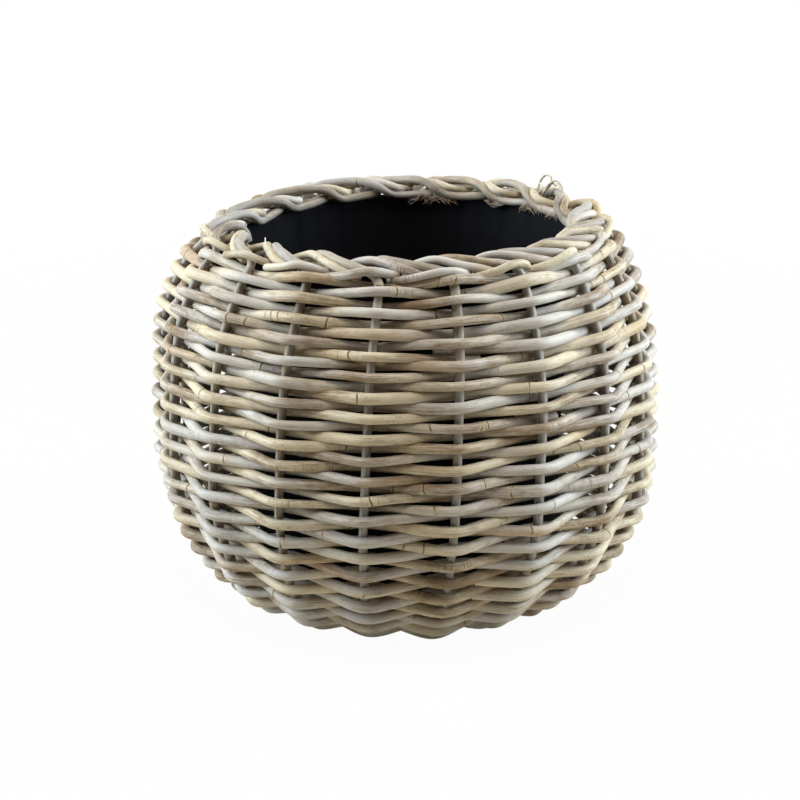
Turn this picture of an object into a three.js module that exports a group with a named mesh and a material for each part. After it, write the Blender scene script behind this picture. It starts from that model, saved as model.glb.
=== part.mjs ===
// Round planter basket of peeled rattan rods with a loose film liner.
// Millimetres, +Z up, standing on z = 0 with its axis on Z.
// Angles round the axis start at the front, -Y, and grow towards +X.
import * as THREE from 'three';

// Stakes: each rod crosses in the base and turns up at both ends
const stakeCount = 18;
const stakeDiameter = 6.4;
const firstStakeAngle = THREE.MathUtils.degToRad(-11);
const stakeLean = THREE.MathUtils.degToRad(4);

// Wall line that the stakes follow
const baseRadius = 117;
const baseRise = 5;
const bellyRadius = 191.8;
const bellyHeight = 123.5;
const cornerPower = 1.17;
const shoulderPower = 3.25;

// Side weave: two weavers chase each other, over one stake and under the next
const weaverDiameter = 6.4;
const rowPitch = 7.55;
const lengthsPerWeaver = 6;
const borderClearance = 7.5;

// Base weave: the same strokes with a finer weaver
const baseWeaverDiameter = 4.2;
const baseRowPitch = 5;
const baseWeaveRadius = 42;

// Border: a wide flat rope of stake ends and laid-in rods, one pair to each stake
const borderRadius = 142;
const borderHeight = 296.8;
const borderWidth = 34;
const pairsAround = 3;
const strandEndGap = 15;
const elbowLength = 6;

// Film liner
const linerWall = 0.8;
const linerFloorRadius = 118;
const linerRimRadius = 133;
const linerCornerRadius = 14;

// Clearances
const seatGap = 0.5;
const strandGap = 0.85;
const cutGap = 1;
const groundCut = 0.5;
const groundReach = 0.7;
const groundFlat = 7;

// Fineness of the faceted solids
const stakeSides = 6;
const maxBend = THREE.MathUtils.degToRad(7.5);
const maxStakeStep = 45;
const fineSteps = 400;
const linerSegments = 48;
const cornerSteps = 4;

const stakeSpacing = 2 * Math.PI / stakeCount;
const stakeRadius = stakeDiameter / 2;
const stakeHalfDepth = stakeRadius * Math.cos(Math.PI / stakeSides);
const stakeHalfFlat = stakeRadius * Math.sin(Math.PI / stakeSides);

const rattan = (color) => new THREE.MeshStandardMaterial({ color, roughness: 0.6, metalness: 0 });

function polar(radius, angle, height) {
  return new THREE.Vector3(radius * Math.sin(angle), -radius * Math.cos(angle), height);
}

function aroundAxis(angle) {
  return new THREE.Vector3(Math.cos(angle), Math.sin(angle), 0);
}

// Half thickness of a four-sided weaver with the area of the round one
function weaverHalf(diameter) {
  return diameter * Math.sqrt(Math.PI) / 4;
}

// Distance from a stake's axis to a weaver that passes it on a slope, clear by the seat gap
function passDistance(half, slope) {
  return stakeHalfDepth + stakeHalfFlat * Math.tan(slope) + seatGap + half / Math.cos(slope);
}

// Slopes and distances of a weaver outside and inside the stakes.
// On an upright wall the turn of the ring steepens the outer pass and flattens the inner one.
function passes(half, radius, upright) {
  const span = radius * stakeSpacing;
  const turn = stakeSpacing / 2 * upright;
  let outer = { slope: turn, distance: passDistance(half, turn) };
  let inner = { slope: 0, distance: passDistance(half, 0) };
  for (let round = 0; round < 8; round++) {
    const climb = Math.atan((outer.distance + inner.distance) / span);
    outer = { slope: climb + turn, distance: passDistance(half, climb + turn) };
    inner = { slope: Math.abs(climb - turn), distance: passDistance(half, Math.abs(climb - turn)) };
  }
  return { outer, inner };
}

// Border rope: two layers of strands that turn from one layer to the other at its two edges.
// Its section starts below the outer edge, climbs that edge, runs in along the top and back below.
const strandsInRope = 2 * pairsAround;
const ropeTurn = pairsAround * stakeSpacing;
const strandShare = 1 - strandEndGap / (ropeTurn * borderRadius);
const layerHalf = (stakeDiameter + strandGap) / 2;
const layerEdge = (borderWidth - stakeDiameter) / 2 - layerHalf;
const ropeSection = new THREE.Path([
  new THREE.Vector2(layerEdge, -layerHalf),
  new THREE.Vector2(layerEdge + layerHalf, 0),
  new THREE.Vector2(layerEdge, layerHalf),
  new THREE.Vector2(-layerEdge, layerHalf),
  new THREE.Vector2(-layerEdge - layerHalf, 0),
  new THREE.Vector2(-layerEdge, -layerHalf),
]).closePath();
const sectionCorners = ropeSection.getCurveLengths().map((length) => length / ropeSection.getLength());
const neckRadius = borderRadius + layerEdge;
const neckHeight = borderHeight - layerHalf;

// Height of the stakes at the base's edge, so that the weave under them is cut flat by the ground
const groundHalf = weaverHalf(weaverDiameter);
const groundPass = passes(groundHalf, baseRadius, 0).outer;
const edgeHeight = groundPass.distance + groundHalf / Math.cos(groundPass.slope) - groundCut;

// Wall line from the base's centre: a low dome, a near quarter ellipse to the belly and a shoulder to the neck
function finePoints() {
  const points = [];
  for (let step = 0; step < fineSteps; step++) {
    const radius = baseRadius * step / fineSteps;
    points.push(new THREE.Vector2(radius, edgeHeight + baseRise * (1 - (radius / baseRadius) ** 2)));
  }
  for (let step = 0; step < fineSteps; step++) {
    const angle = Math.PI / 2 * step / fineSteps;
    const radius = baseRadius + (bellyRadius - baseRadius) * Math.sin(angle) ** cornerPower;
    const height = edgeHeight + (bellyHeight - edgeHeight) * (1 - Math.cos(angle) ** cornerPower);
    points.push(new THREE.Vector2(radius, height));
  }
  for (let step = 0; step <= fineSteps; step++) {
    const rise = step / fineSteps;
    const radius = bellyRadius - (bellyRadius - neckRadius) * rise ** shoulderPower;
    points.push(new THREE.Vector2(radius, bellyHeight + (neckHeight - bellyHeight) * rise));
  }
  return points;
}

// Stations of the wall line, close where it bends, with their distance along the line
function wallStations() {
  const points = finePoints();
  const stations = [{ point: points[0], along: 0 }];
  let travelled = 0;
  let stepLength = 0;
  let bend = 0;
  for (let i = 1; i < points.length; i++) {
    const length = points[i].distanceTo(points[i - 1]);
    travelled += length;
    stepLength += length;
    const before = points[i].clone().sub(points[i - 1]);
    const after = points[Math.min(i + 1, points.length - 1)].clone().sub(points[i]);
    bend += after.lengthSq() > 0 ? Math.abs(after.angle() - before.angle()) : 0;
    if (bend > maxBend || stepLength > maxStakeStep || i === points.length - 1) {
      stations.push({ point: points[i], along: travelled });
      stepLength = 0;
      bend = 0;
    }
  }
  return stations;
}

const stations = wallStations();
const wallLength = stations.at(-1).along;

// Point and outward normal of the wall line at a distance along it
function wallAt(along) {
  const found = stations.findIndex((station) => station.along >= along);
  const index = Math.max(1, found < 0 ? stations.length - 1 : found);
  const low = stations[index - 1];
  const high = stations[index];
  const share = (along - low.along) / (high.along - low.along);
  const point = low.point.clone().lerp(high.point, share);
  const line = high.point.clone().sub(low.point).normalize();
  return { radius: point.x, height: point.y, normal: new THREE.Vector2(line.y, -line.x) };
}

// Distance along the wall line at which it reaches a radius on the base
function alongAtBaseRadius(radius) {
  const index = stations.findIndex((station) => station.point.x >= radius);
  const low = stations[index - 1];
  const high = stations[index];
  const share = (radius - low.point.x) / (high.point.x - low.point.x);
  return low.along + share * (high.along - low.along);
}

const edgeAlong = alongAtBaseRadius(baseRadius);

function stakeAngle(index, along) {
  const lean = stakeLean * Math.max(0, along - edgeAlong) / (wallLength - edgeAlong);
  return firstStakeAngle + index * stakeSpacing + lean;
}

function wallNormal(wall, angle) {
  return polar(wall.normal.x, angle, wall.normal.y);
}

// Ring of section corners round a point, counter-clockwise about the way forward
function sectionRing(point, forward, normal, corners) {
  const across = forward.clone().cross(normal).normalize();
  const square = across.clone().cross(forward).normalize();
  return corners.map(([out, side]) => point.clone()
    .addScaledVector(square, out)
    .addScaledVector(across, side));
}

// Closed rod: rings of corners joined by quads, with a flat cap at each end
function rodGeometry(rings) {
  const sides = rings[0].length;
  const last = (rings.length - 1) * sides;
  const index = [];
  for (let i = 0; i + 1 < rings.length; i++) {
    for (let j = 0; j < sides; j++) {
      const a = i * sides + j;
      const b = i * sides + (j + 1) % sides;
      index.push(a, b, b + sides, a, b + sides, a + sides);
    }
  }
  for (let j = 1; j + 1 < sides; j++) {
    index.push(0, j + 1, j, last, last + j, last + j + 1);
  }
  const geometry = new THREE.BufferGeometry();
  geometry.setFromPoints(rings.flat());
  geometry.setIndex(index);
  geometry.computeVertexNormals();
  return geometry;
}

const roundCorners = Array.from({ length: stakeSides }, (_, corner) => {
  const angle = (corner + 0.5) * 2 * Math.PI / stakeSides;
  return [stakeRadius * Math.cos(angle), stakeRadius * Math.sin(angle)];
});

// Round rod through points; where a point has no normal of its own, the nearest one is carried along
function roundRod(path) {
  const forward = path.map((_, i) => {
    const after = path[Math.min(i + 1, path.length - 1)].point;
    const before = path[Math.max(i - 1, 0)].point;
    return after.clone().sub(before).normalize();
  });
  const normals = path.map((stop) => stop.normal);
  const carry = (from, to) => {
    const along = normals[from].dot(forward[to]);
    normals[to] = normals[from].clone().addScaledVector(forward[to], -along).normalize();
  };
  const first = normals.findIndex((normal) => normal !== undefined);
  for (let i = first - 1; i >= 0; i--) carry(i + 1, i);
  for (let i = first + 1; i < path.length; i++) {
    if (normals[i] === undefined) carry(i - 1, i);
  }
  return rodGeometry(path.map((stop, i) => sectionRing(stop.point, forward[i], normals[i], roundCorners)));
}

// Strand of the border's rope from one share of its section to another, with a stop at each corner.
// A whole section is passed in one rope turn, back towards -X at the front from the given angle.
function ropeStrand(angle, entry, from, to) {
  const corners = [-1, 0, ...sectionCorners].filter((share) => share > from && share < to);
  return [from, ...corners, to].map((share) => {
    const place = ropeSection.getPointAt(THREE.MathUtils.euclideanModulo(share, 1));
    const turned = (share - entry) * ropeTurn;
    return { point: polar(borderRadius + place.x, angle - turned, borderHeight + place.y) };
  });
}

// Place of a spoke in the base's cross: its group, its place in the group and the group's axis
function crossPlace(index) {
  const half = stakeCount / 2;
  const lowerCount = Math.ceil(half / 2);
  const inHalf = index % half;
  const isUpper = inHalf >= lowerCount;
  const start = isUpper ? lowerCount : 0;
  const count = isUpper ? half - lowerCount : lowerCount;
  const middle = (count - 1) / 2;
  const axisAngle = stakeAngle(index - inHalf + start + middle, 0);
  const partner = index + half + count - 1 - 2 * (inHalf - start);
  return { isUpper, offset: inHalf - start - middle, axisAngle, partner, lowerCount };
}

const crossSpacing = stakeDiameter + seatGap;

// One end of a stake: out from the cross, along the base, up the wall and round the border
function stakeEnd(index) {
  const { isUpper, offset, axisAngle, lowerCount } = crossPlace(index);
  const level = stations[0].point.y + (isUpper ? 0.5 : -0.5) * crossSpacing;
  const crossPoint = polar(crossSpacing * lowerCount / 2, axisAngle, level)
    .addScaledVector(aroundAxis(axisAngle), offset * crossSpacing);
  const path = [{ point: crossPoint, normal: new THREE.Vector3(0, 0, -1) }];
  const fanAlong = baseWeaveRadius - baseWeaverDiameter;
  const stops = stations.map((station) => station.along)
    .filter((along) => along > fanAlong && along < wallLength - elbowLength);
  for (const along of [fanAlong, ...stops, wallLength - elbowLength]) {
    const wall = wallAt(along);
    const angle = stakeAngle(index, along);
    path.push({ point: polar(wall.radius, angle, wall.height), normal: wallNormal(wall, angle) });
  }
  const elbowShare = elbowLength / (ropeTurn * borderRadius);
  return [...path, ...ropeStrand(stakeAngle(index, wallLength), 0, elbowShare, strandShare)];
}

function throughStake(index) {
  const near = stakeEnd(index);
  const far = stakeEnd(crossPlace(index).partner);
  return roundRod([...far.reverse(), ...near]);
}

// Rod laid into the border one strand behind the stake at the same place
function borderRod(index) {
  const entry = -1 / strandsInRope;
  const path = ropeStrand(stakeAngle(index, wallLength), entry, entry, entry + strandShare);
  path[0].normal = new THREE.Vector3(0, 0, -1);
  return roundRod(path);
}

// One length of a weaver between two cuts; both cut ends lie behind a stake
function weaverLength(weave, strand, firstPass, lastPass) {
  const half = weaverHalf(weave.diameter);
  const rings = [];
  for (let pass = firstPass; pass <= lastPass; pass++) {
    const along = weave.start + climbAt(weave, strand, pass);
    const wall = wallAt(along);
    const angle = stakeAngle(pass % stakeCount, along);
    const { outer, inner } = passes(half, wall.radius, Math.max(0, wall.normal.x));
    const isOuter = (pass + strand) % 2 === 0;
    const { slope, distance } = isOuter ? outer : inner;
    const normal = wallNormal(wall, angle);
    const forward = aroundAxis(angle);
    const depth = half / Math.cos(slope);
    const corners = [[depth, -half], [depth, half], [-depth, half], [-depth, -half]];
    const centre = polar(wall.radius, angle, wall.height)
      .addScaledVector(normal, isOuter ? distance : -distance);
    const ringAt = (shift) => {
      const point = centre.clone().addScaledVector(forward, shift);
      return sectionRing(point, forward, normal, corners);
    };
    if (pass === firstPass) {
      rings.push(ringAt(cutGap / 2));
    } else if (pass === lastPass) {
      rings.push(ringAt(-cutGap / 2));
    } else if (isOuter && centre.z - depth < groundReach) {
      rings.push(pressFlat(ringAt(-groundFlat / 2)), pressFlat(ringAt(groundFlat / 2)));
    } else {
      rings.push(ringAt(0));
    }
  }
  return rodGeometry(rings);
}

// Two weavers share the rows, so each climbs two rows in a round
function climbAt(weave, strand, pass) {
  return weave.pitch * (strand + 2 * pass / stakeCount);
}

// Corners within reach of the ground are pressed flat on it
function pressFlat(ring) {
  for (const corner of ring) {
    if (corner.z < groundReach) corner.z = 0;
  }
  return ring;
}

// Cuts of one weaver into equal lengths, each moved to a pass behind a stake
function weaverCuts(weave, strand) {
  const climb = weave.end - weave.start - strand * weave.pitch;
  const total = Math.floor(climb / (2 * weave.pitch) * stakeCount) - 1;
  return Array.from({ length: weave.lengths + 1 }, (_, cut) => {
    const pass = Math.round(total * cut / weave.lengths);
    return (pass + strand) % 2 === 0 ? pass + 1 : pass;
  });
}

// Liner profile: floor, rounded corner and a straight side up to the border, then back inside
function linerGeometry(floorHeight) {
  const rimHeight = borderHeight - layerHalf - stakeRadius - seatGap;
  const side = new THREE.Vector2(linerRimRadius - linerFloorRadius, rimHeight - floorHeight).normalize();
  const outline = (inset) => {
    const points = [new THREE.Vector2(0, floorHeight + inset)];
    const reach = Math.PI / 2 - Math.atan2(side.x, side.y);
    const corner = linerCornerRadius - inset;
    const centre = new THREE.Vector2(linerFloorRadius - linerCornerRadius, floorHeight + linerCornerRadius);
    for (let step = 0; step <= cornerSteps; step++) {
      const angle = -Math.PI / 2 + reach * step / cornerSteps;
      const arm = new THREE.Vector2(Math.cos(angle), Math.sin(angle));
      points.push(centre.clone().addScaledVector(arm, corner));
    }
    points.push(new THREE.Vector2(linerRimRadius - inset, rimHeight));
    return points;
  };
  const geometry = new THREE.LatheGeometry([...outline(0), ...outline(linerWall).reverse()], linerSegments);
  geometry.rotateX(Math.PI / 2);
  return geometry;
}

const basket = new THREE.Group();

function addPiece(name, geometry, material) {
  const mesh = new THREE.Mesh(geometry, material);
  mesh.name = name;
  basket.add(mesh);
}

const twoDigits = (number) => String(number).padStart(2, '0');

// Stakes, one for each pair of spokes that the cross joins
for (let index = 0; index < stakeCount / 2; index++) {
  addPiece(`through_stake_${index + 1}`, throughStake(index), rattan(0x9c8a70));
}

// Border rods laid in beside the stake ends
for (let index = 0; index < stakeCount; index++) {
  addPiece(`border_rod_${twoDigits(index + 1)}`, borderRod(index), rattan(0xc2b48f));
}

// Weavers of the base and of the side
const baseWeave = {
  name: 'base_weaver',
  diameter: baseWeaverDiameter,
  pitch: baseRowPitch,
  start: alongAtBaseRadius(baseWeaveRadius),
  end: edgeAlong - 2 * rowPitch,
  lengths: 1,
};
const sideWeave = {
  name: 'side_weaver',
  diameter: weaverDiameter,
  pitch: rowPitch,
  start: edgeAlong - 1.5 * rowPitch,
  end: wallLength - borderClearance,
  lengths: lengthsPerWeaver,
};
for (const weave of [baseWeave, sideWeave]) {
  for (const [strand, letter] of ['a', 'b'].entries()) {
    const cuts = weaverCuts(weave, strand);
    for (let part = 0; part < weave.lengths; part++) {
      const name = weave.lengths === 1 ? `${weave.name}_${letter}` : `${weave.name}_${letter}${part + 1}`;
      addPiece(name, weaverLength(weave, strand, cuts[part], cuts[part + 1]), rattan(0xbfb6a0));
    }
  }
}

// Liner, standing on the highest stroke of the base weave
const baseHalf = weaverHalf(baseWeaverDiameter);
const innerWall = wallAt(baseWeave.start);
const innerPass = passes(baseHalf, innerWall.radius, 0).inner;
const baseTop = innerWall.height + innerPass.distance + baseHalf / Math.cos(innerPass.slope);
const film = new THREE.MeshStandardMaterial({ color: 0x0c0c10, roughness: 0.35, metalness: 0 });
addPiece('film_liner', linerGeometry(baseTop + seatGap), film);

export default basket;
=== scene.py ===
"""Rattan planter basket: round rods, a flat plaited border and a loose film liner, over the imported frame.

Lengths are in metres. Angles round the axis start at the front, -Y, and grow towards +X.
"""

import bpy
import numpy as np
from mathutils import Matrix, Vector


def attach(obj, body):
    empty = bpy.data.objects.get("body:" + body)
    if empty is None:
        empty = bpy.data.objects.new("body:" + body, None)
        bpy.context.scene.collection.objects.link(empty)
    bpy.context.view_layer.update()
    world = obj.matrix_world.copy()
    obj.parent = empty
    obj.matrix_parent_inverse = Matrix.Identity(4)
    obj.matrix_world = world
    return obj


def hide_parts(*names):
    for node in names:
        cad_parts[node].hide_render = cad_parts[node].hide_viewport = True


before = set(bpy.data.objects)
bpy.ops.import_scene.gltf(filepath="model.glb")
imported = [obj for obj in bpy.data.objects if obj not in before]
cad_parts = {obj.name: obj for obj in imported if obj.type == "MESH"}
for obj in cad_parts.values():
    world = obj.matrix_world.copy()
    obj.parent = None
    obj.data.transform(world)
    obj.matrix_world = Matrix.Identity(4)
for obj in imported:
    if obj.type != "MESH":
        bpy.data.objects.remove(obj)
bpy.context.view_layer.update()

# Stakes
STAKES = 18
SPACING = 2 * np.pi / STAKES
STAKE_R = 0.0034
FIRST_ANGLE = np.radians(-11)
LEAN = np.radians(4)
CROSS_SPACING = 0.0069

# Wall line that the stakes follow
BASE_R, BASE_RISE, EDGE_Z = 0.117, 0.005, 0.00928
BELLY_R, BELLY_Z = 0.1918, 0.1235
CORNER_POWER, SHOULDER_POWER = 1.17, 3.25
WALL_STEPS = 400

# Border: each strand leaves its stake and goes back over the next ones, in over the top and out below
BORDER_R, BORDER_Z, NECK_R, NECK_Z = 0.142, 0.2968, 0.152175, 0.293175
ELBOW = 0.006
BORDER_STRAND_R, BORDER_TAPER = 0.0035, 0.82
# How many knots a strand or a stake end has, and how far each stop is moved by hand, at most by the last number
PATH_KNOTS = 160
HAND_SHIFT, HAND_LIMIT = (0.3, 0.35, 0.3), 0.7
# Their stops: degrees from the stake, millimetres out from the border's middle and up from it
STAKE_STOPS = np.array([
    (2, 10.6, -2.2), (6, 10, 1.2), (10, 6.2, 2.8), (14, 0, 3.8), (18, -6.5, 3.9), (21.5, -11.6, 2.6),
    (24, -14, -0.6), (26.5, -13.6, -4.6), (29.5, -12.8, -7.2), (33, -12, -7.6), (37, -11, -7.2), (41, -9.8, -6.4),
    (44, -8.2, -6),
])
ROD_STOPS = np.array([
    (5, 8.8, -6), (8, 9.8, -4.4), (10, 9.4, -2.9), (12, 8, -1.5), (14, 5.4, -0.3), (18, -0.2, 1.3),
    (21.5, -5.2, 2.2), (24, -8.6, 3.0), (27, -12.6, 1.2), (29.5, -14.4, -0.8), (31.3, -11, -1.9), (33, -5.4, -4),
    (34.2, -0.4, -5.6), (35.5, 4.4, -5.8), (37, 8.8, -4), (38.6, 12.2, -1.8), (40.4, 14.8, 0), (42.2, 16.5, 0.9),
    (44, 17.3, 0.6), (46, 17.2, -1.2), (49.5, 15.6, -4.0), (53, 13.2, -6.2), (55.5, 9.5, -7.8), (57.5, 5.5, -9),
])
# One stake end, at the left, was left hanging into the mouth
HANGING_STAKE = 15
HANGING_STOPS = np.concatenate([STAKE_STOPS[:6], [(24, -14.5, -1), (26, -17.5, -6), (27, -18.5, -12)]])

# Weave: pitch of the rows and radius of the weavers
SIDE_PITCH, SIDE_R = 0.00761, 0.00365
BASE_PITCH, BASE_WEAVER_R = 0.005, 0.0021
BASE_WEAVE_START = 0.042
# Where the side weave starts, and the base weave ends, before the base's edge along the wall
SIDE_BEFORE_EDGE, BASE_BEFORE_EDGE = 0.0113, 0.0151
# How far the lowest rows are flattened on the ground, and the highest row's place past the base's edge
FLOOR_PRESS, TOP_ROW = 0.0009, 0.3182
# Passes at which weavers a and b are cut, and how straw-coloured each length is, from the bottom up
SIDE_CUTS = ((1, 65, 131, 195, 259, 325, 391), (0, 64, 128, 190, 254, 318, 382))
SIDE_STRAW = ((0.65, 0.6, 0.2, 0.4, 0.7, 0.2), (0.5, 0.7, 0.3, 0.65, 0.5, 0.15))
# Girth of each length over the nominal one, room left outside a stake, and how far ends run past it, in stakes
SIDE_GIRTH = (1.05, 1.05, 1.05, 1.06, 1.07, 1.08)
SIDE_SPARE, BASE_SPARE, SIDE_TAILS = 0.0016, 0.0007, 0.28
# Share of that room left inside a stake, unevenness of the pitch, and an end's shift in radii and its depth
INSIDE_SHARE, PITCH_WANDER = 0.6, 0.045
TAIL_SHIFT, TAIL_DEPTH = 1.3, 0.0004

# Rods: how far the softening of their bends reaches, and how far they wander outwards and sideways
STAKE_REACH, BORDER_REACH, SIDE_REACH, BASE_REACH = 0.0028, 0.0042, 0.0075, 0.002
WANDER_OUT, WANDER_SIDE = 0.00022, 0.00042
# Wavelengths of that, and the way at each end over which it fades
OUT_WAVE, SIDE_WAVE, STILL_END = 0.09, 0.11, 0.02
# Spacing of their rings, points to a ring, and a cut end's bevel with the share of the radius that it leaves
STEP, SIDES, BEVEL, BEVEL_SHARE = 0.003, 12, 0.0003, 0.9
# Growth joints: extra rings about each, least way from an end, swelling and groove as shares of the radius and widths
JOINT_STOPS = np.array([-6, -3.5, -2, -1, -0.5, -0.22, 0, 0.22, 0.5, 1, 2, 3.5, 6]) * 0.001
JOINT_MARGIN = 0.04
JOINT_SWELL, SWELL_WIDTH, JOINT_GROOVE, GROOVE_WIDTH = 0.06, 0.003, 0.07, 0.0004
# Uneven girth over short ways, how oval rods are, and wavelengths of the girth, of its short part and of the oval
FINE_UNEVEN, OVAL = 0.015, 0.05
GIRTH_WAVE, FINE_WAVE, OVAL_WAVE = 0.45, 0.05, 0.3
# Changes of tone and of age along a rod, each a size and a wavelength
TONE_WAVES, AGE_WAVES = ((0.36, 0.8), (0.12, 0.14)), ((0.17, 0.30), (0.09, 0.08))

# Hand-made unevenness: rises of the rim, with middle and width in degrees, and the heights over which they grow
RIM_RISES = ((0.0025, 125, 38), (-0.0062, -106, 34), (-0.0012, 0, 60))
RISE_HEIGHTS = (0.17, 0.285)
# Swells of the side: size, middle and width in degrees, heights of growing and of fading, radii of growing
SIDE_SWELLS = (
    (0.0045, (78, 48), (0.008, 0.03), (0.13, 0.085), (0.10, 0.14)),
    (0.005, (-88, 45), (0.18, 0.25), (0.295, 0.275), (0.10, 0.14)),
    (0.007, (-4, 40), (-0.02, -0.01), (0.09, 0.02), (0.08, 0.12)),
)


def polar(radius, angle, height):
    radius, angle, height = np.broadcast_arrays(radius, angle, height)
    return np.stack([radius * np.sin(angle), -radius * np.cos(angle), height], axis=-1)


def wall_line():
    """Low dome over the base, near quarter ellipse to the belly, then a shoulder that falls in by a power of height.

    Gives the way along the line, its radius and height, and its normal's two parts.
    """
    share = np.linspace(0, 1, WALL_STEPS, endpoint=False)
    dome = np.stack([BASE_R * share, EDGE_Z + BASE_RISE * (1 - share ** 2)])
    turn = np.pi / 2 * share
    side = np.stack([
        BASE_R + (BELLY_R - BASE_R) * np.sin(turn) ** CORNER_POWER,
        EDGE_Z + (BELLY_Z - EDGE_Z) * (1 - np.cos(turn) ** CORNER_POWER),
    ])
    rise = np.linspace(0, 1, WALL_STEPS + 1)
    shoulder = np.stack([BELLY_R - (BELLY_R - NECK_R) * rise ** SHOULDER_POWER, BELLY_Z + (NECK_Z - BELLY_Z) * rise])
    line = np.concatenate([dome, side, shoulder], axis=1)
    along = np.concatenate([[0], np.cumsum(np.hypot(*np.diff(line, axis=1)))])
    slope = np.gradient(line, along, axis=1)
    slope /= np.hypot(*slope)
    return along, line[0], line[1], slope[1], -slope[0]


WALL = wall_line()
WALL_LENGTH = WALL[0][-1]
EDGE_ALONG = WALL[0][WALL_STEPS]


def wall(along):
    return [np.interp(along, WALL[0], values) for values in WALL[1:]]


def stake_angle(index, along):
    lean = LEAN * np.maximum(0, along - EDGE_ALONG) / (WALL_LENGTH - EDGE_ALONG)
    return FIRST_ANGLE + index * SPACING + lean


def wander(at, wavelength, rng):
    """Smooth noise of about unit size: four sines near one wavelength with seeded phases."""
    waves = 2 * np.pi / (wavelength * rng.uniform(0.6, 1.7, (4, 1)))
    return np.sin(waves * at + rng.uniform(0, 2 * np.pi, (4, 1))).sum(axis=0) / np.sqrt(2)


def soften(points, step, reach):
    """Evenly spaced points, each moved to the Gaussian mean of its neighbours; both ends stay where they are."""
    half = int(np.ceil(3 * reach / step))
    weights = np.exp(-0.5 * (np.arange(-half, half + 1) * step / reach) ** 2)
    padded = np.concatenate([2 * points[:1] - points[half:0:-1], points, 2 * points[-1:] - points[-2:-half - 2:-1]])
    return np.stack([np.convolve(column, weights / weights.sum(), "valid") for column in padded.T], axis=1)


def between(at, way, rows):
    return np.stack([np.interp(at, way, column) for column in rows.T], axis=1)


def unit(rows):
    return rows / np.linalg.norm(rows, axis=-1, keepdims=True)


def ramp(value, low, high):
    share = np.clip((value - low) / (high - low), 0, 1)
    return share * share * (3 - 2 * share)


def hill(angle, middle, width):
    return np.exp(-(((angle - middle + 180) % 360 - 180) / width) ** 2)


def handmade(points):
    """Uneven hand work, added to all points: rim low at the left back and front, high at the right back, side fuller
    low on the right, high on the left and at the foot of the front. Each is a smooth hill round the axis times ramps
    up the side."""
    x, y, z = points.T
    angle, radius = np.degrees(np.arctan2(x, -y)), np.hypot(x, y)
    rise = sum(height * hill(angle, *place) for height, *place in RIM_RISES)
    swell = sum(
        size * hill(angle, *place) * ramp(z, *growing) * ramp(z, *fading) * ramp(radius, *outwards)
        for size, place, growing, fading, outwards in SIDE_SWELLS)
    grown = 1 + swell / np.maximum(radius, 0.01)
    return np.stack([x * grown, y * grown, z + rise * ramp(z, *RISE_HEIGHTS)], axis=1)


def new_object(name, points, loops, totals, attributes, material):
    """Smooth mesh object at the origin from whole arrays of points and face corners."""
    points = handmade(points)
    mesh = bpy.data.meshes.new(name)
    mesh.vertices.add(len(points))
    mesh.vertices.foreach_set("co", points.astype(np.float32).ravel())
    mesh.loops.add(len(loops))
    mesh.loops.foreach_set("vertex_index", loops.astype(np.int32))
    mesh.polygons.add(len(totals))
    mesh.polygons.foreach_set("loop_start", (np.cumsum(totals) - totals).astype(np.int32))
    mesh.polygons.foreach_set("loop_total", totals.astype(np.int32))
    mesh.polygons.foreach_set("use_smooth", np.ones(len(totals), dtype=bool))
    for key, values in attributes.items():
        kind, field = ("FLOAT", "value") if values.ndim == 1 else ("FLOAT_VECTOR", "vector")
        mesh.attributes.new(key, kind, "POINT").data.foreach_set(field, values.astype(np.float32).ravel())
    mesh.update(calc_edges=True)
    mesh.validate()
    mesh.materials.append(material)
    piece = bpy.data.objects.new(name, mesh)
    bpy.context.collection.objects.link(piece)
    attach(piece, "root")
    return piece


def ring_faces(rings, sides):
    """Quads between rings of points that follow one another."""
    first, around = np.arange(rings - 1)[:, None] * sides, np.arange(sides)
    a, b = (first + around).ravel(), (first + (around + 1) % sides).ravel()
    return np.stack([a, b, b + sides, a + sides], axis=1)


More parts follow.
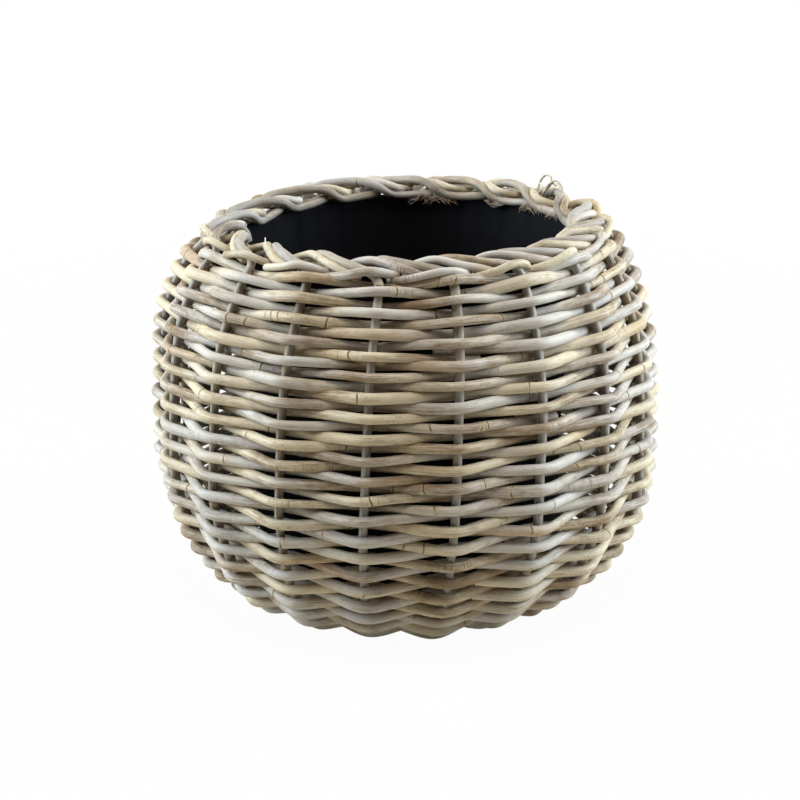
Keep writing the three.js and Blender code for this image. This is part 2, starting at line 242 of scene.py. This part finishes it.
def rod(name, knots, normals, radius, reach, tone, material, seed,
        roughness=1.0, joint_every=0.28, taper=1.0, uneven=0.035):
    """Round rod along knots: chords softened by a Gaussian of the given reach, then swept by a near circle.

    Its radius wanders a little, swells at each growth joint and has a fine groove there; both ends are cut square
    with a small bevel. Attributes: grain, place along and across the rod; tint, its tone, its age and one on a cut
    end; joint, the distance to the nearest growth joint in millimetres.
    """
    rng = np.random.default_rng(seed)
    way = np.concatenate([[0], np.cumsum(np.linalg.norm(np.diff(knots, axis=0), axis=1))])
    length = way[-1]
    even = np.linspace(0, length, max(int(round(length / STEP)), 4) + 1)
    centre = soften(between(even, way, knots), even[1], reach)
    normal = unit(between(even, way, normals))
    side_way = unit(np.cross(unit(np.gradient(centre, even, axis=0)), normal))
    ends = np.clip(np.minimum(even, length - even) / STILL_END, 0, 1)[:, None]
    centre += ends * normal * (WANDER_OUT * roughness * wander(even, OUT_WAVE, rng))[:, None]
    centre += ends * side_way * (WANDER_SIDE * roughness * wander(even, SIDE_WAVE, rng))[:, None]
    count = rng.poisson(length / joint_every)
    joints = np.sort(rng.uniform(JOINT_MARGIN, length - JOINT_MARGIN, count))
    at = np.unique(np.clip(np.concatenate([even, (joints[:, None] + JOINT_STOPS).ravel()]), 0, length))
    offsets = at[:, None] - np.append(joints, -1.0)
    nearest = np.abs(offsets).argmin(axis=1)
    gap = np.take_along_axis(offsets, nearest[:, None], axis=1)[:, 0]
    tilt, bow = rng.uniform(-0.4, 0.4, (2, count + 1))[:, nearest]
    size = radius * (1 + (taper - 1) * at / length)
    size *= 1 + uneven * wander(at, GIRTH_WAVE, rng) + FINE_UNEVEN * wander(at, FINE_WAVE, rng)
    swollen, grooved = np.exp(-(gap / SWELL_WIDTH) ** 2), np.exp(-(gap / GROOVE_WIDTH) ** 2)
    size *= 1 + JOINT_SWELL * swollen - JOINT_GROOVE * grooved
    centre, normal = between(at, even, centre), between(at, even, normal)
    forward = unit(np.gradient(centre, at, axis=0))
    centre = np.concatenate([centre[:1] - BEVEL * forward[:1], centre, centre[-1:] + BEVEL * forward[-1:]])
    at = np.concatenate([[-BEVEL], at, [length + BEVEL]])
    size = np.concatenate([[BEVEL_SHARE * size[0]], size, [BEVEL_SHARE * size[-1]]])
    forward, normal, gap, tilt, bow = [np.concatenate([x[:1], x, x[-1:]]) for x in (forward, normal, gap, tilt, bow)]
    normal = unit(normal - (normal * forward).sum(axis=1, keepdims=True) * forward)
    across = np.cross(forward, normal)
    turn = np.arange(SIDES) * 2 * np.pi / SIDES
    oval = 1 + OVAL * wander(at, OVAL_WAVE, rng)
    out = (size * oval)[:, None] * np.cos(turn)
    sideways = (size / oval)[:, None] * np.sin(turn)
    points = centre[:, None] + out[..., None] * normal[:, None] + sideways[..., None] * across[:, None]
    rings = len(at)
    quads = ring_faces(rings, SIDES)
    caps = np.stack([np.arange(SIDES)[::-1], (rings - 1) * SIDES + np.arange(SIDES)])
    loops = np.concatenate([quads.ravel(), caps.ravel()])
    totals = np.concatenate([np.full(len(quads), 4), np.full(2, SIDES)])
    cut = np.zeros(rings)
    cut[[0, -1]] = 1
    hue, age = [
        start + sum(change * wander(at, wave, rng) for change, wave in waves)
        for start, waves in zip(tone, (TONE_WAVES, AGE_WAVES))]
    tint = np.stack([hue, age, cut], axis=1)
    offset = rng.uniform(0, 60)
    grain = np.stack([np.broadcast_to(at[:, None] + offset, out.shape), out, sideways], axis=-1)
    apart = np.abs(gap[:, None] + tilt[:, None] * sideways + bow[:, None] * sideways ** 2 / radius).clip(0, 0.02)
    attributes = {
        "grain": grain.reshape(-1, 3),
        "tint": np.repeat(tint, SIDES, axis=0),
        "joint": apart.ravel() * 1000,
    }
    return new_object(name, points.reshape(-1, 3), loops, totals, attributes, material)


def border_strand(angle, stops, seed):
    """Knots and normals of a border strand: straight runs between its stops, each moved a little by hand."""
    rng = np.random.default_rng(seed)
    moved = stops + rng.normal(0, HAND_SHIFT, stops.shape).clip(-HAND_LIMIT, HAND_LIMIT)
    turned = np.linspace(moved[0, 0], moved[-1, 0], PATH_KNOTS)
    out, up = between(turned, moved[:, 0], moved[:, 1:]).T * 0.001
    place = angle - np.radians(turned)
    return polar(BORDER_R + out, place, BORDER_Z + up), polar(np.ones_like(place), place, 0 * place)


def cross_place(index):
    """Group of a spoke in the base's cross: upper or not, place in the group, angle of the group, opposite spoke,
    and the size of the lower group."""
    half = STAKES // 2
    lower = -(-half // 2)
    within = index % half
    upper = within >= lower
    start = lower if upper else 0
    count = half - lower if upper else lower
    middle = (count - 1) / 2
    axis = stake_angle(index - within + start + middle, 0)
    partner = index + half + count - 1 - 2 * (within - start)
    return upper, within - start - middle, axis, partner, lower


def stake_end(index):
    """Knots and normals of one end of a stake: out from the cross, along the base, up the wall, into the border."""
    upper, offset, axis, _, lower = cross_place(index)
    level = EDGE_Z + BASE_RISE + (0.5 if upper else -0.5) * CROSS_SPACING
    start = polar(CROSS_SPACING * lower / 2, axis, level)
    start = start + offset * CROSS_SPACING * np.array([np.cos(axis), np.sin(axis), 0])
    along = np.linspace(BASE_WEAVE_START - 2 * BASE_WEAVER_R, WALL_LENGTH - ELBOW, PATH_KNOTS)
    r, z, normal_r, normal_z = wall(along)
    angle = stake_angle(index, along)
    stops = HANGING_STOPS if index == HANGING_STAKE else STAKE_STOPS
    strand, strand_normals = border_strand(stake_angle(index, WALL_LENGTH), stops, 800 + index)
    knots = np.concatenate([start[None], polar(r, angle, z), strand])
    normals = np.concatenate([[[0, 0, -1]], polar(normal_r, angle, normal_z), strand_normals])
    return knots, normals


def weave_knots(start, pitch, strand, first, last, radius, seed, spare, tails=0.0):
    """Knots of one weaver length: a point beside each stake in turn, outside one and inside the next.

    With tails, its first end starts a little before the first stake and above its row, and its last end runs on past
    the last stake and below, so that the ends of two lengths lie side by side behind the stake.
    """
    rng = np.random.default_rng(seed)
    passes = np.arange(first, last + 1)
    shift = PITCH_WANDER * pitch * rng.standard_normal(len(passes)).clip(-1.5, 1.5)
    outside = (passes + strand) % 2 == 0
    depth = np.where(outside, STAKE_R + radius + spare, -STAKE_R - radius - INSIDE_SHARE * spare)
    if tails:
        shift[0], shift[-1] = radius, -radius
        passes = np.concatenate([[first - tails], passes, [last + tails]])
        shift = np.concatenate([[TAIL_SHIFT * radius], shift, [-TAIL_SHIFT * radius]])
        depth = np.concatenate([depth[:1] - TAIL_DEPTH, depth, depth[-1:] - TAIL_DEPTH])
    along = np.minimum(start + pitch * (strand + 2 * passes / STAKES), EDGE_ALONG + TOP_ROW) + shift
    angle = stake_angle(passes, along)
    r, z, normal_r, normal_z = wall(along)
    knots = polar(r + depth * normal_r, angle, np.maximum(z + depth * normal_z, radius - FLOOR_PRESS))
    return knots, polar(normal_r, angle, normal_z)


class Sock:
    """A shader socket that takes part in arithmetic; each operation adds one Math node."""

    def __init__(self, shader, socket):
        self.shader, self.socket = shader, socket

    def math(self, operation, *values, clamp=False):
        node = self.shader.add("ShaderNodeMath", {"operation": operation, "use_clamp": clamp}, values)
        return node[0]

    def __add__(self, other):
        return self.math("ADD", self, other)

    def __sub__(self, other):
        return self.math("SUBTRACT", self, other)

    def __rsub__(self, other):
        return self.math("SUBTRACT", other, self)

    def __mul__(self, other):
        return self.math("MULTIPLY", self, other)

    def larger(self, other):
        return self.math("MAXIMUM", self, other)

    def step(self, low, high):
        """Smooth step from 0 at low to 1 at high, or falling where low is above high."""
        share = self.math("DIVIDE", self - low, high - low, clamp=True)
        return share * share * (3 - share * 2)

    __radd__ = __add__
    __rmul__ = __mul__


class Nodes:
    """A node tree; all its new nodes come from the method add."""

    def __init__(self, tree):
        self.tree = tree

    def add(self, kind, settings=None, values=()):
        """New node: settings first, then a value or link for each input, by place or by name; gives its outputs."""
        node = self.tree.nodes.new(kind)
        for key, value in (settings or {}).items():
            setattr(node, key, value)
        pairs = values.items() if isinstance(values, dict) else enumerate(values)
        for key, value in pairs:
            if isinstance(value, Sock):
                self.tree.links.new(value.socket, node.inputs[key])
            elif value is not None:
                node.inputs[key].default_value = value
        return [Sock(self, socket) for socket in node.outputs]

    def seen(self):
        """One for rays from the camera and those that left a glossy or clear surface, else zero."""
        rays = self.add("ShaderNodeLightPath")
        return rays[0].larger(rays[3]).larger(rays[6])

    def attribute(self, name):
        _, vector, factor, _ = self.add("ShaderNodeAttribute", {"attribute_name": name})
        return vector, factor

    def scaled(self, vector, scale):
        return self.add("ShaderNodeVectorMath", {"operation": "MULTIPLY"}, [vector, scale])[0]

    def noise(self, vector, scale, detail, rough=0.5):
        values = {"Vector": self.scaled(vector, scale), "Scale": 1.0, "Detail": detail, "Roughness": rough}
        return self.add("ShaderNodeTexNoise", None, values)[0]

    def mix(self, share, first, second):
        settings = {"data_type": "RGBA", "clamp_factor": True}
        return self.add("ShaderNodeMix", settings, {0: share, 6: first, 7: second})[2]

    def bump(self, height, strength, distance):
        values = {"Height": height, "Strength": strength, "Distance": distance}
        return self.add("ShaderNodeBump", None, values)[0]


class Shader(Nodes):
    """A node material with one Principled shader."""

    def __init__(self, name, **fixed):
        self.material = bpy.data.materials.new(name)
        self.material.use_nodes = True
        super().__init__(self.material.node_tree)
        self.surface = self.tree.nodes["Principled BSDF"]
        for key, value in fixed.items():
            self.surface.inputs[key.replace("_", " ")].default_value = value

    def link(self, **sockets):
        for key, sock in sockets.items():
            self.tree.links.new(sock.socket, self.surface.inputs[key.replace("_", " ")])
        return self.material


def srgb(red, green, blue):
    level = np.array([red, green, blue]) / 255
    linear = np.where(level <= 0.04045, level / 12.92, ((level + 0.055) / 1.055) ** 2.4)
    return (*linear.tolist(), 1.0)


def rattan(name, grey, straw, dark):
    """Weathered peeled rattan: grey to straw by tone, darker with age, long fibres, specks and dark growth joints."""
    m = Shader(name, IOR=1.45, Specular_IOR_Level=0.3)
    grain, _ = m.attribute("grain")
    tint, _ = m.attribute("tint")
    _, joint = m.attribute("joint")
    tone, age, cut = m.add("ShaderNodeSeparateXYZ", None, [tint])
    mottle = m.noise(grain, (22, 160, 160), 3.0, 0.6)
    streak = m.noise(grain, (34, 1100, 1100), 3.0, 0.6)
    fibre = m.noise(grain, (120, 3400, 3400), 2.0)
    blotch = m.noise(grain, (90, 260, 260), 3.0, 0.65)
    speck = m.noise(grain, (460, 740, 740), 1.0)
    stain = m.noise(grain, (5, 26, 26), 2.0)
    crack = m.noise(grain, (620, 110, 110), 2.0)
    cracked = m.noise(grain, (13, 40, 40), 1.0)
    colour = m.mix((tone + 0.9 * (mottle - 0.5)).step(0.15, 0.85), grey, straw)
    colour = m.mix(0.6 * stain.step(0.55, 0.68), colour, srgb(182, 152, 108))
    worn = (age + 1.1 * (blotch - 0.5) + 1.4 * (streak - 0.5)).step(0.05, 1.0)
    colour = m.mix(worn, colour, dark)
    colour = m.mix(0.6 * fibre.step(0.52, 0.76), colour, dark)
    colour = m.mix(0.5 * speck.step(0.6, 0.7) * mottle.step(0.52, 0.62), colour, srgb(82, 66, 50))
    colour = m.mix(0.6 * crack.step(0.6, 0.68) * cracked.step(0.56, 0.66), colour, srgb(92, 74, 56))
    ragged = joint + 1.4 * (blotch - 0.5) + 0.7 * (streak - 0.5)
    halo = ragged.step(3.6, 0.6) * (0.3 + 0.7 * mottle)
    colour = m.mix(0.5 * halo, colour, srgb(198, 174, 128))
    ring = ragged.step(0.85, 0.25) * mottle.step(0.36, 0.52)
    colour = m.mix(0.85 * ring, colour, srgb(58, 42, 28))
    pore = m.noise(grain, (900, 2600, 2600), 1.0).step(0.45, 0.6)
    colour = m.mix(cut, colour, m.mix(pore, srgb(206, 190, 158), srgb(134, 112, 82)))
    height = 0.6 * streak + 0.35 * fibre - 0.5 * ring + 0.3 * blotch
    return m.link(
        Base_Color=colour,
        Roughness=0.44 + 0.22 * streak + 0.14 * worn,
        Normal=m.bump(height, 0.35, 0.0004),
    )


weaver_rattan = rattan("weaver_rattan_fibre", srgb(191, 185, 176), srgb(204, 190, 162), srgb(131, 107, 79))
stake_rattan = rattan("stake_rattan_fibre", srgb(170, 163, 155), srgb(169, 158, 140), srgb(112, 98, 82))
border_rattan = rattan("border_rattan_fibre", srgb(194, 188, 180), srgb(202, 190, 164), srgb(136, 115, 90))

# Stakes, one for each pair of spokes that the cross joins
for number in range(STAKES // 2):
    tones = np.random.default_rng(100 + number).uniform((0.0, 0.15), (0.4, 0.45))
    near, far = stake_end(number), stake_end(cross_place(number)[3])
    path, out_way = [np.concatenate([b[::-1], a]) for a, b in zip(near, far)]
    stake = rod(
        f"stake_rod_{number + 1}", path, out_way, STAKE_R, STAKE_REACH, tones, stake_rattan, 200 + number, 0.6)
    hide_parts(f"through_stake_{number + 1}")

# Border rods laid in beside the stake ends
for number in range(STAKES):
    tones = np.random.default_rng(300 + number).uniform((0.3, 0.05), (1.0, 0.4))
    path, out_way = border_strand(stake_angle(number, WALL_LENGTH), ROD_STOPS, 850 + number)
    strand = rod(
        f"border_strand_{number + 1:02d}", path, out_way, BORDER_STRAND_R, BORDER_REACH, tones, border_rattan,
        400 + number, 0.6, taper=BORDER_TAPER)
    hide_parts(f"border_rod_{number + 1:02d}")

# Side weavers, six lengths each
for which, letter in enumerate("ab"):
    cuts = SIDE_CUTS[which]
    for number, girth in enumerate(SIDE_GIRTH):
        seed = 500 + 10 * number + which
        tones = (SIDE_STRAW[which][number], np.random.default_rng(seed).uniform(0.1, 0.45))
        path, out_way = weave_knots(
            EDGE_ALONG - SIDE_BEFORE_EDGE, SIDE_PITCH, which, cuts[number], cuts[number + 1], SIDE_R, seed,
            SIDE_SPARE, SIDE_TAILS)
        weaver = rod(
            f"weave_{letter}{number + 1}", path, out_way, SIDE_R * girth, SIDE_REACH, tones, weaver_rattan, seed,
            joint_every=0.2, uneven=0.06)
        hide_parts(f"side_weaver_{letter}{number + 1}")

# Base weavers
for which, letter in enumerate("ab"):
    end = EDGE_ALONG - BASE_BEFORE_EDGE
    total = int((end - BASE_WEAVE_START - which * BASE_PITCH) / (2 * BASE_PITCH) * STAKES) - 1
    first, last = [p + 1 if (p + which) % 2 == 0 else p for p in (0, total)]
    path, out_way = weave_knots(
        BASE_WEAVE_START, BASE_PITCH, which, first, last, BASE_WEAVER_R, 700 + which, BASE_SPARE)
    tones = (0.4, 0.3)
    weaver = rod(
        f"base_weave_{letter}", path, out_way, BASE_WEAVER_R, BASE_REACH, tones, weaver_rattan, 710 + which, 0.4)
    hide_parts(f"base_weaver_{letter}")


def film():
    """Black polythene film: a soft sheen, fine crinkles, faint dust and a painted highlight, pale bluish grey, along
    the slipped edge.
    """
    m = Shader("liner_film_black", IOR=1.5, Specular_IOR_Level=0.03)
    place = m.add("ShaderNodeTexCoord")[3]
    _, edge_highlight_mask = m.attribute("edge_highlight_mask")
    crinkle = m.noise(place, (70, 70, 26), 4.0, 0.6)
    fine = m.noise(place, (420, 420, 300), 2.0)
    dust = m.noise(place, (24, 24, 24), 3.0)
    colour = m.mix(0.6 * dust.step(0.45, 0.8), srgb(20, 20, 23), srgb(27, 27, 30))
    # Painted highlight: the slipped film edge is coloured pale bluish grey where it catches the light.
    colour = m.mix(edge_highlight_mask.step(0.45, 0.9) * (0.4 + fine), colour, srgb(176, 176, 190))
    return m.link(
        Base_Color=colour,
        Roughness=0.5 + 0.2 * dust,
        Normal=m.bump(0.8 * crinkle + 0.2 * fine, 0.35, 0.003),
    )


def liner(name):
    """Bag of film: floor, rounded corner and side from a lathe line, with soft folds that deepen up the side.

    Over the last rows its edge leans out under the border; along part of the back it has slipped and leans in, in
    waves.
    """
    rng = np.random.default_rng(31)
    floor_r, rim_r, corner, low, high = 0.118, 0.1345, 0.014, 0.0248, 0.2835
    floor_rows, corner_rows, side_rows, edge_rows, columns = 24, 7, 69, 8, 360
    lean = np.arctan2(rim_r - floor_r, high - low)
    bend = np.linspace(-np.pi / 2, -lean, corner_rows + 2)[1:-1]
    corner_r = floor_r - corner + corner * np.cos(bend)
    corner_z = low + corner + corner * np.sin(bend)
    side = np.linspace(0, 1, side_rows + 1)[1:]
    side_r = corner_r[-1] + (rim_r - corner_r[-1]) * side
    side_z = corner_z[-1] + (high - corner_z[-1]) * side
    line_r = np.concatenate([np.linspace(0.004, floor_r - corner, floor_rows), corner_r, side_r])
    line_z = np.concatenate([np.full(floor_rows, low), corner_z, side_z])
    flare = np.concatenate([np.zeros(len(line_r)), np.linspace(0, 1, edge_rows + 1)[1:]])[:, None]
    line_r = np.append(line_r, np.full(edge_rows, rim_r))[:, None]
    line_z = np.append(line_z, np.full(edge_rows, high))[:, None]
    rows = len(line_r)
    angle = np.linspace(0, 2 * np.pi, columns, endpoint=False)
    up = np.clip((line_z - low) / (high - low), 0, 1)
    folds = np.zeros((rows, columns))
    for waves in (7, 11, 17, 23, 31):
        phase, sway = rng.uniform(0, 2 * np.pi), rng.uniform(-2.0, 2.0)
        folds += (np.abs(np.sin(waves * angle + phase + sway * up)) - 0.6) / waves ** 0.7
    fold_depth, fold_limits = 0.003, (-0.0005, 0.009)
    inward = np.clip(fold_depth * up ** 0.7 * (0.6 + folds), *fold_limits)
    slip_middle, slip_width, wave_length = 141, 14, 17
    lean_out, slip_in, wave_in = 0.003, 0.007, 0.002
    edge_rise, slip_down, wave_down = 0.0056, 0.0031, 0.0028
    slipped = np.exp(-((np.degrees(angle) - slip_middle) / slip_width) ** 4)
    wave = np.sin(np.radians(360 / wave_length) * (np.degrees(angle) - slip_middle))
    r = line_r - inward + flare ** 1.5 * (lean_out - slipped * (slip_in + wave_in * wave))
    z = line_z + flare * (edge_rise - slipped * (slip_down + wave_down * wave))
    # Where the slipped edge of the film gets its painted highlight in the film's colour.
    edge_highlight_mask = np.broadcast_to(flare ** 3 * slipped, r.shape)
    middle = np.array([[0.0, 0.0, low]])
    quads = ring_faces(rows, columns)
    fan = np.stack([np.full(columns, rows * columns), np.roll(np.arange(columns), -1), np.arange(columns)], axis=1)
    loops = np.concatenate([quads.ravel(), fan.ravel()])
    totals = np.concatenate([np.full(len(quads), 4), np.full(columns, 3)])
    points = np.concatenate([polar(r, angle, z).reshape(-1, 3), middle])
    return new_object(name, points, loops, totals, {"edge_highlight_mask": np.append(edge_highlight_mask.ravel(), 0)}, film())


bag = liner("liner_bag")
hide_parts("film_liner")


def fibre_bark():
    """Dry bark fibre: brown to pale from fibre to fibre, darker in streaks."""
    m = Shader("loose_bark_fibre", IOR=1.45, Specular_IOR_Level=0.3)
    grain, _ = m.attribute("grain")
    _, shade = m.attribute("shade")
    streak = m.noise(grain, (300, 900, 900), 2.0)
    colour = m.mix(shade, srgb(140, 110, 84), srgb(232, 226, 210))
    colour = m.mix(0.5 * streak.step(0.5, 0.75), colour, srgb(96, 70, 46))
    return m.link(Base_Color=colour, Roughness=0.6 + 0.25 * streak, Normal=m.bump(streak, 0.3, 0.0003))


def fibres(name, paths, radius, shades, material):
    """Thin fibres: each path is swept by a small six-sided section that narrows to its tip, with both ends closed."""
    count, steps = paths.shape[:2]
    sides, tip_share, askew = 6, 0.4, (0.36, 0.48, 0.80)
    forward = unit(np.gradient(paths, axis=1))
    normal = unit(np.cross(forward, askew))
    across = np.cross(forward, normal)
    turn = np.arange(sides) * 2 * np.pi / sides
    size = radius[:, None] * np.linspace(1, tip_share, steps)
    ring = normal[:, :, None] * np.cos(turn)[:, None] + across[:, :, None] * np.sin(turn)[:, None]
    points = paths[:, :, None] + size[..., None, None] * ring
    first = np.arange(count)[:, None, None] * steps * sides
    quads = (ring_faces(steps, sides) + first).reshape(-1, 4)
    around = np.arange(sides)
    caps = (np.stack([around[::-1], (steps - 1) * sides + around]) + first).reshape(-1, sides)
    loops = np.concatenate([quads.ravel(), caps.ravel()])
    totals = np.concatenate([np.full(len(quads), 4), np.full(len(caps), sides)])
    way = np.linspace(0, 0.02, steps)[:, None] + np.arange(count)[:, None, None]
    girth = radius[:, None, None]
    grain = np.stack(np.broadcast_arrays(way, girth * np.cos(turn), girth * np.sin(turn)), axis=-1)
    attributes = {"grain": grain.reshape(-1, 3), "shade": np.repeat(shades, steps * sides)}
    piece = new_object(name, points.reshape(-1, 3), loops, totals, attributes, material)


def border_place(angle, out, up):
    """Place by degrees round the axis, and by millimetres out from the border's middle and up from it."""
    return polar(BORDER_R + out * 0.001, np.radians(angle), BORDER_Z + up * 0.001)


def tuft(name, middle, width, count, seed, material):
    """Bark fibres caught under the border's inner edge: each runs along the ring from its root, droops and curls."""
    rng = np.random.default_rng(seed)
    root = middle + width * rng.uniform(-0.5, 0.5, (count, 1))
    run, drop, curl = [rng.uniform(low, high, (count, 1)) for low, high in ((-7, 7), (1.5, 6.5), (-1.5, 1.5))]
    share = np.linspace(0, 1, 9)
    sway = rng.uniform(0, 2 * np.pi, (count, 1))
    angle = root + run * share + 0.6 * np.sin(5 * share + sway)
    out = rng.uniform(-14, -10.5, (count, 1)) - 2.6 * share + curl * np.sin(4 * share)
    up = rng.uniform(-9, -5.5, (count, 1)) - drop * share ** 1.6 + 0.7 * np.sin(6 * share + sway) * share
    radius = rng.uniform(0.0002, 0.0004, count)
    fibres(name, border_place(angle, out, up), radius, rng.uniform(0, 0.5, count), material)


bark = fibre_bark()
tuft("bark_tuft_1", 170, 11, 70, 901, bark)
tuft("bark_tuft_2", 128, 6, 26, 902, bark)
tuft("bark_tuft_3", 113, 4, 14, 903, bark)

# Curl of rind at the back right, and a thread across the border at the left: angle, out, up
CURL_STOPS = np.array([
    [(132, 0, -5), (131, 1, 2), (130.6, 2, 10), (128.2, 3, 17),
     (124.6, 2.5, 16.5), (124.8, 1, 8.6), (128.4, 0.5, 5.6), (130.4, 1, 9)],
    [(129, 0, -3), (127.6, 1, 2.5), (126.5, 2, 6), (124.6, 3, 12),
     (123.4, 3, 9), (121.4, 2, 12), (118.6, 1, 9), (117, 1, 1.5)],
    [(128, -2, -3), (126.8, -1, 3.6), (125.4, 0, 9.5), (123.2, 1, 13.5),
     (121.4, 2, 14), (119.4, 3, 10), (118.6, 3, 5.5), (118, 2, 1)],
    [(-56, -14.5, 2.5), (-54.5, -12.5, 6.4), (-52.6, -9.6, 7.2), (-50.6, -6, 6.6),
     (-48.6, -2.5, 5.6), (-46.6, 1, 4.2), (-45, 4, 2.6), (-43.6, 6.6, 0.4)],
])


def smooth_paths(stops, steps):
    """Paths through rows of stops: straight runs, softened by a Gaussian."""
    at = np.linspace(0, stops.shape[1] - 1, steps)
    runs = [between(at, np.arange(stops.shape[1]), rows) for rows in stops]
    return np.stack([soften(run, 1.0, 1.6) for run in runs])


curls = smooth_paths(CURL_STOPS, 40)
curl_points = border_place(curls[..., 0], curls[..., 1], curls[..., 2])
fibres("rind_curl", curl_points[:3], np.array([0.0017, 0.0015, 0.0012]), np.array([0.7, 0.6, 0.5]), bark)
fibres("loose_thread", curl_points[3:], np.array([0.00035]), np.array([1.0]), bark)


def stage():
    """Pale floor that shows white to the camera and keeps a soft shadow, white surroundings and soft lamps.

    Of what the camera sees of the floor, a small share near the basket is lit floor, which carries the shadow.
    """
    size, lit_share, lit_reach, aim, dim_sky = 7.0, 0.035, (0.5, 1.5), Vector((0, 0, 0.15)), 0.05
    corners = np.array([[-size, -size, 0], [size, -size, 0], [size, size, 0], [-size, size, 0]])
    mesh = bpy.data.meshes.new("floor")
    mesh.from_pydata(corners.tolist(), [], [(0, 1, 2, 3)])
    floor = bpy.data.objects.new("floor", mesh)
    bpy.context.collection.objects.link(floor)
    m = Shader("floor_white", Base_Color=(0.56, 0.505, 0.41, 1), Roughness=0.9, Specular_IOR_Level=0.0)
    white = m.add("ShaderNodeEmission", None, [(1, 1, 1, 1), 1.0])[0]
    lit = Sock(m, m.surface.outputs[0])
    place = m.add("ShaderNodeTexCoord")[3]
    away = m.add("ShaderNodeVectorMath", {"operation": "LENGTH"}, [place])[1]
    share = m.seen() * (1 - lit_share + lit_share * away.step(*lit_reach))
    mixed = m.add("ShaderNodeMixShader", None, [share, lit, white])[0]
    m.tree.links.new(mixed.socket, m.tree.nodes["Material Output"].inputs["Surface"])
    mesh.materials.append(m.material)
    world = bpy.data.worlds.new("surroundings")
    bpy.context.scene.world = world
    world.use_nodes = True
    sky = Nodes(world.node_tree)
    background = sky.tree.nodes["Background"]
    background.inputs["Color"].default_value = (1, 1, 1, 1)
    sky.tree.links.new((dim_sky + (1 - dim_sky) * sky.seen()).socket, background.inputs["Strength"])
    # Name, place, width in metres, power in watts and colour
    lamps = [
        ("overhead", (0.0, -0.55, 2.14), 1.0, 24.2, (1.0, 0.925, 0.82)),
        ("left_side", (-1.85, 0.18, 1.0), 1.5, 77, (0.77, 0.89, 1.0)),
        ("right_side", (1.85, 0.18, 1.0), 1.5, 77, (0.77, 0.89, 1.0)),
    ]
    for name, place, width, power, tint in lamps:
        lamp = bpy.data.lights.new(name, "AREA")
        lamp.shape = "DISK"
        lamp.size = width
        lamp.energy = power
        lamp.color = tint
        holder = bpy.data.objects.new(name, lamp)
        holder.location = place
        holder.rotation_euler = (aim - Vector(place)).to_track_quat("-Z", "Y").to_euler()
        bpy.context.collection.objects.link(holder)


def camera():
    """Camera 17 degrees above level at 2 m, moved sideways and down so that the basket sits as in the photograph."""
    elevation, distance, down, aim = 17, 2.0, 0.0058, Vector((-0.00436, 0, 0.1575))
    data = bpy.data.cameras.new("camera")
    data.lens = 113.04
    data.sensor_width = 36
    holder = bpy.data.objects.new("camera", data)
    turn = Matrix.Rotation(np.radians(90 - elevation), 4, "X")
    back, up = turn @ Vector((0, 0, 1)), turn @ Vector((0, 1, 0))
    place = aim - down * up + distance * back
    holder.matrix_world = Matrix.Translation(place) @ turn
    bpy.context.collection.objects.link(holder)
    bpy.context.scene.camera = holder


stage()
camera()
bpy.context.scene.view_settings.view_transform = "Standard"
